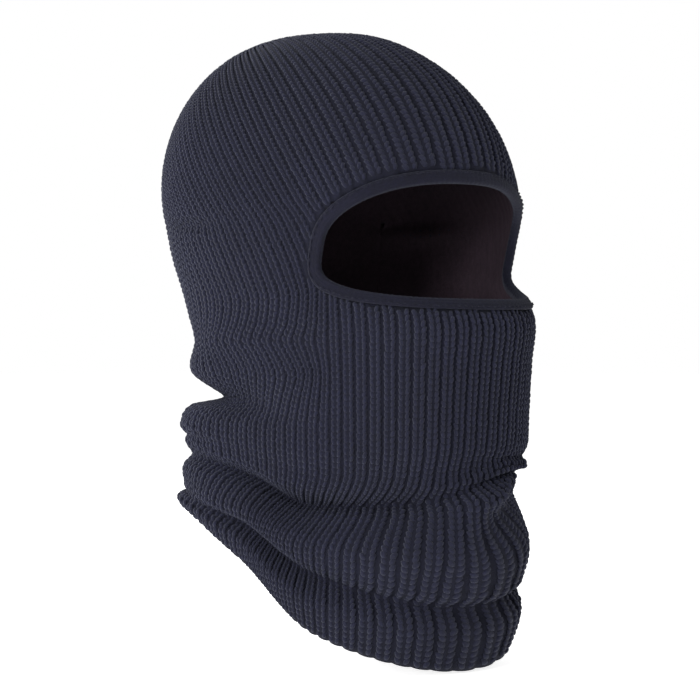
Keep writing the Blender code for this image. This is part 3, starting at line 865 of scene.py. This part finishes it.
def fibre_group():
    """Acrylic fibre: fine strands along the yarn, a felted haze over it, and a slow drift of shade."""
    made = bpy.data.node_groups.get("acrylic fibre")
    if made:
        return made
    made, start, end = group(
        "acrylic fibre",
        [("Shade", "NodeSocketColor", (0.04, 0.045, 0.07, 1)), ("Haze", "NodeSocketFloat", 0.5),
         ("Strand", "NodeSocketFloat", 1.0)],
        [("Colour", "NodeSocketColor"), ("Height", "NodeSocketFloat"), ("Roughness", "NodeSocketFloat")],
    )
    place = put(made, "ShaderNodeTexCoord").outputs["Object"]
    noises, shades = [], []
    for scale, detail, (low, high), (dark, light) in FIBRE_NOISES:
        noise = put(made, "ShaderNodeTexNoise", [("Vector", place)], Scale=scale, Detail=detail)
        noise = noise.outputs["Fac"]
        shade = put(made, "ShaderNodeMapRange", [("Value", noise)], From_Min=low, From_Max=high,
                    To_Min=dark, To_Max=light).outputs[0]
        noises.append(noise)
        shades.append(shade)
    both = combine(made, "MULTIPLY", shades[0], shades[1])
    every = combine(made, "MULTIPLY", both, shades[2])
    tinted = put(made, "ShaderNodeVectorMath", [(0, start.outputs["Shade"])], operation="SCALE")
    made.links.new(every, tinted.inputs["Scale"])
    strands = combine(made, "MULTIPLY", noises[0], start.outputs["Strand"])
    lumps = combine(made, "MULTIPLY", noises[1], start.outputs["Haze"])
    total = combine(made, "ADD", strands, lumps)
    rough = put(made, "ShaderNodeMapRange", [("Value", noises[1])], To_Min=0.8, To_Max=1.0)
    made.links.new(tinted.outputs[0], end.inputs["Colour"])
    made.links.new(total, end.inputs["Height"])
    made.links.new(rough.outputs[0], end.inputs["Roughness"])
    return made


def yarn_material(name, colour, sheen, bump=0.0004):
    """A fuzzy matt yarn whose fibres catch the light at the edges."""
    made = bpy.data.materials.get(name)
    if made:
        return made
    made = bpy.data.materials.new(name)
    made.use_nodes = True
    tree = made.node_tree
    shader = tree.nodes["Principled BSDF"]
    fibre = tree.nodes.new("ShaderNodeGroup")
    fibre.node_tree = fibre_group()
    fibre.inputs["Shade"].default_value = (*colour, 1)
    raised = put(tree, "ShaderNodeBump", [("Height", fibre.outputs["Height"])], Strength=0.7, Distance=bump)
    tree.links.new(fibre.outputs["Colour"], shader.inputs["Base Color"])
    tree.links.new(fibre.outputs["Roughness"], shader.inputs["Roughness"])
    tree.links.new(raised.outputs["Normal"], shader.inputs["Normal"])
    shader.inputs["Specular IOR Level"].default_value = 0.2
    shader.inputs["Sheen Weight"].default_value = sheen
    shader.inputs["Sheen Roughness"].default_value = 0.55
    shader.inputs["Sheen Tint"].default_value = (0.75, 0.8, 1.0, 1)
    return made


def knit_material():
    return yarn_material("navy acrylic knit", tuple(settings().knit_colour), settings().fuzz)


def painted_shade_ground_material():
    # The knit yarn made darker: painted shade for the ground, which shows in the recesses under and between
    # the stitches.
    colour = tuple(0.6 * v for v in settings().knit_colour)
    return yarn_material("navy knit ground painted shade", colour, settings().fuzz * 0.3)


def inside_tone_painted_light_material():
    """The inner face of the knit: a warmer tone of its own, painted lighter than the outer yarn as light that
    reaches inside the hood, and without loose fibres.
    """
    return yarn_material("navy knit inside painted light", tuple(settings().inside_tone_and_painted_light), 0.0)


def binding_painted_shade_material():
    # The binding's yarn is painted about half as light as the knit. This is painted shade that keeps its
    # upturned top from catching the light.
    return yarn_material("navy binding knit painted shade", tuple(settings().binding_painted_shade_colour), settings().fuzz * 0.6)


def seam_material():
    return yarn_material("navy seam yarn", tuple(0.7 * v for v in settings().knit_colour), 0.2)


def length(name, description, default, low, high):
    return bpy.props.FloatProperty(
        name=name, description=description, default=default, min=low, max=high, unit="LENGTH")


def colour(name, description, default):
    return bpy.props.FloatVectorProperty(
        name=name, description=description, default=default, size=3, min=0, max=1, subtype="COLOR")


class BalaclavaSettings(bpy.types.PropertyGroup):
    """Sizes and colours that a user would change."""

    rib_pitch: length("Rib spacing", "From one rib to the next on the neck", 0.0066, 0.004, 0.012)
    stitch_height: length("Stitch height", "From one stitch to the next along a rib", 0.0027, 0.0015, 0.006)
    binding_width: length("Binding width", "Width of the strip round the eye opening", 0.0062, 0.004, 0.012)
    knit_colour: colour("Knit colour", "Colour of the rib knit's yarn", (0.0086, 0.0092, 0.0212))
    binding_painted_shade_colour: colour("Binding colour, painted darker as shade", "Binding yarn's colour, painted darker than the knit as shade", (0.0045, 0.0045, 0.0115))
    inside_tone_and_painted_light: colour("Inside colour and painted light", "Warm tone of the knit's inner face, painted lighter as light inside the hood", (0.031, 0.020, 0.028))
    fuzz: bpy.props.FloatProperty(
        name="Fuzz", description="How much the yarn's loose fibres catch light", default=0.10,
        min=0, max=1, subtype="FACTOR")


class BALACLAVA_OT_front_panel(bpy.types.Operator):
    """Knit the front panel: its ribbed ground, and its stitches in four shares across"""

    bl_idname = "balaclava.front_panel"
    bl_label = "Front panel"

    def execute(self, context):
        layout = Panel(-SEAM_ANGLE, SEAM_ANGLE, front_crown_paths)
        cloth = panel_cloth("front_panel_knit", layout, painted_shade_ground_material())
        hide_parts("front_panel")
        shares = np.array_split(np.arange(layout.ribs), 4)
        names = ("left_side", "left_face", "right_face", "right_side")
        stitches = [
            panel_stitches(f"front_stitches_{name}", layout, ribs, knit_material())
            for name, ribs in zip(names, shares)
        ]
        return {"FINISHED"}


class BALACLAVA_OT_back_panel(bpy.types.Operator):
    """Knit the back panel and its tongue at the crown"""

    bl_idname = "balaclava.back_panel"
    bl_label = "Back panel"

    def execute(self, context):
        layout = Panel(SEAM_ANGLE, 2 * math.pi - SEAM_ANGLE, back_crown_paths)
        cloth = panel_cloth("back_panel_knit", layout, painted_shade_ground_material())
        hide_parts("back_panel")
        stitches = panel_stitches("back_stitches", layout, np.arange(layout.ribs), knit_material())
        return {"FINISHED"}


class BALACLAVA_OT_seams(bpy.types.Operator):
    """Sew the panels together with an overcast yarn up each side and round the tongue"""

    bl_idname = "balaclava.seams"
    bl_label = "Seams"

    def execute(self, context):
        lines = {
            "right_side_seam": (side_seam_line(1), "right_side_seam_yarn"),
            "left_side_seam": (side_seam_line(-1), "left_side_seam_yarn"),
            "crown_seam": (crown_seam_line(), "crown_seam_yarn"),
        }
        for name, ((line, normal), node) in lines.items():
            path, up = overcast_path(line, normal)
            yarn = open_tube(name, path, up, SEAM_YARN, YARN_SIDES, seam_material())
            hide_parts(node)
        return {"FINISHED"}


class BALACLAVA_OT_binding(bpy.types.Operator):
    """Fold the knit binding over the eye opening's edge, over its elastic, and stitch it down"""

    bl_idname = "balaclava.binding"
    bl_label = "Eye binding"

    def execute(self, context):
        band = swept_loop("eye_binding_knit", binding_rings(), binding_painted_shade_material())
        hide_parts("eye_opening_binding")
        # The holding stitches share the binding's painted shade.
        stitch = swept_loop("binding_stitches", holding_stitches(), binding_painted_shade_material())
        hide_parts("binding_stitch_yarn")
        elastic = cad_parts["eye_opening_elastic"]
        elastic.data.materials.clear()
        elastic.data.materials.append(yarn_material("black covered elastic", (0.012, 0.012, 0.014), 0.05))
        return {"FINISHED"}


class BALACLAVA_OT_label(bpy.types.Operator):
    """Sew a blank woven tab inside the nape"""

    bl_idname = "balaclava.label"
    bl_label = "Care label"

    def execute(self, context):
        grid = label_sheet()
        normal = outward_normals(grid)
        points = both_faces(grid, normal, LABEL_HALF_THICKNESS, -LABEL_HALF_THICKNESS)
        faces = closed_sheet(np.ones((grid.shape[0] - 1, grid.shape[1] - 1), bool))
        shade = yarn_material("white woven label", (0.62, 0.62, 0.6), 0.05, 0.0001)
        tab = add_piece("care_label_tab", points, outward_turn(points, faces), shade)
        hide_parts("care_label")
        return {"FINISHED"}


class BALACLAVA_OT_stage(bpy.types.Operator):
    """Set the plain floor, the soft lights and the camera"""

    bl_idname = "balaclava.stage"
    bl_label = "Stage"

    def execute(self, context):
        scene = context.scene
        right = np.array([math.cos(CAMERA_AZIMUTH), math.sin(CAMERA_AZIMUTH), 0.0])
        back = np.array([math.sin(CAMERA_AZIMUTH), -math.cos(CAMERA_AZIMUTH), 0.0])
        aim = np.array([0, 0, (CAMERA_LEVEL - SEAT_HEIGHT) / 1000]) + CAMERA_ASIDE * right
        camera = bpy.data.cameras.new("camera")
        camera.lens = CAMERA_LENS
        camera.sensor_width = 36
        viewer = bpy.data.objects.new("camera", camera)
        viewer.location = aim + CAMERA_DISTANCE * back
        viewer.rotation_euler = (math.pi / 2, 0, CAMERA_AZIMUTH)
        scene.collection.objects.link(viewer)
        scene.camera = viewer
        self.floor()
        for name, (near, aside, up), size, power in LIGHTS:
            place = aim + near * back + aside * right + np.array([0, 0, up])
            self.light(name, place, aim, size, power)
        scene.world = self.surroundings()
        scene.view_settings.view_transform = "Standard"
        return {"FINISHED"}

    def surroundings(self):
        """White paper as the camera sees it, which lights the cloth more faintly."""
        world = bpy.data.worlds.new("studio")
        world.use_nodes = True
        paper = world.node_tree.nodes["Background"]
        paper.inputs["Color"].default_value = (1, 1, 1, 1)
        seen = put(world.node_tree, "ShaderNodeLightPath")
        strength = put(world.node_tree, "ShaderNodeMapRange", [("Value", seen.outputs["Is Camera Ray"])],
                       To_Min=SKY_LIGHT, To_Max=1.0)
        world.node_tree.links.new(strength.outputs[0], paper.inputs["Strength"])
        return world

    def light(self, name, place, target, size, power):
        """A square soft light that faces the target."""
        lamp = bpy.data.lights.new(name, "AREA")
        lamp.size = size
        lamp.energy = power
        made = bpy.data.objects.new(name, lamp)
        made.location = place
        away = np.asarray(place) - target
        made.rotation_euler = (
            math.acos(away[2] / np.linalg.norm(away)), 0, math.atan2(away[1], away[0]) + math.pi / 2)
        bpy.context.scene.collection.objects.link(made)

    def floor(self):
        """A round plain floor, level with the lowest point of the hem."""
        turn = np.linspace(0, 2 * math.pi, 97)[:-1]
        reach = np.array([0.01, 1, 3, 6, 10, 12])
        ring = np.stack([np.sin(turn), np.cos(turn)], -1)
        low = CAD_BOX[0][2] - 0.001
        points = np.zeros((len(turn), len(reach), 3))
        points[..., :2] = ring[:, None] * reach[None, :, None]
        points[..., 2] = low
        number = np.arange(points.shape[0] * points.shape[1]).reshape(points.shape[:2])
        number = np.concatenate([number, number[:1]])
        mesh = bpy.data.meshes.new("floor")
        flat = quads(number)[:, ::-1]
        mesh.from_pydata(points.reshape(-1, 3).tolist(), [], flat.tolist() + [number[:-1, 0].tolist()])
        made = bpy.data.objects.new("floor", mesh)
        mesh.materials.append(self.paper())
        bpy.context.scene.collection.objects.link(made)

    def paper(self):
        """Pale paper with a faint grain and a glow of its own."""
        paper = bpy.data.materials.new("pale floor")
        paper.use_nodes = True
        tree = paper.node_tree
        place = put(tree, "ShaderNodeTexCoord")
        grain = put(tree, "ShaderNodeTexNoise", [("Vector", place.outputs["Object"])], Scale=30.0)
        tone = put(tree, "ShaderNodeMapRange", [("Value", grain.outputs["Fac"])], To_Min=0.9, To_Max=0.96)
        shader = tree.nodes["Principled BSDF"]
        tree.links.new(tone.outputs[0], shader.inputs["Base Color"])
        shader.inputs["Roughness"].default_value = 1.0
        shader.inputs["Emission Color"].default_value = (1, 1, 1, 1)
        shader.inputs["Emission Strength"].default_value = FLOOR_GLOW
        return paper


OPERATORS = (
    BALACLAVA_OT_back_panel,
    BALACLAVA_OT_front_panel,
    BALACLAVA_OT_seams,
    BALACLAVA_OT_binding,
    BALACLAVA_OT_label,
    BALACLAVA_OT_stage,
)


class BALACLAVA_PT_sidebar(bpy.types.Panel):
    """Lists the settings and the steps"""

    bl_label = "Balaclava"
    bl_space_type = "VIEW_3D"
    bl_region_type = "UI"
    bl_category = "Balaclava"

    def draw(self, context):
        for name in BalaclavaSettings.__annotations__:
            self.layout.prop(context.scene.balaclava, name)
        for step in OPERATORS:
            self.layout.operator(step.bl_idname)


def register():
    bpy.utils.register_class(BalaclavaSettings)
    for step in OPERATORS:
        bpy.utils.register_class(step)
    bpy.utils.register_class(BALACLAVA_PT_sidebar)
    bpy.types.Scene.balaclava = bpy.props.PointerProperty(type=BalaclavaSettings)


def unregister():
    del bpy.types.Scene.balaclava
    bpy.utils.unregister_class(BALACLAVA_PT_sidebar)
    for step in reversed(OPERATORS):
        bpy.utils.unregister_class(step)
    bpy.utils.unregister_class(BalaclavaSettings)


def main():
    register()
    steps = bpy.ops.balaclava
    steps.back_panel()
    steps.front_panel()
    steps.seams()
    steps.binding()
    steps.label()
    steps.stage()


if __name__ == "__main__":
    main()
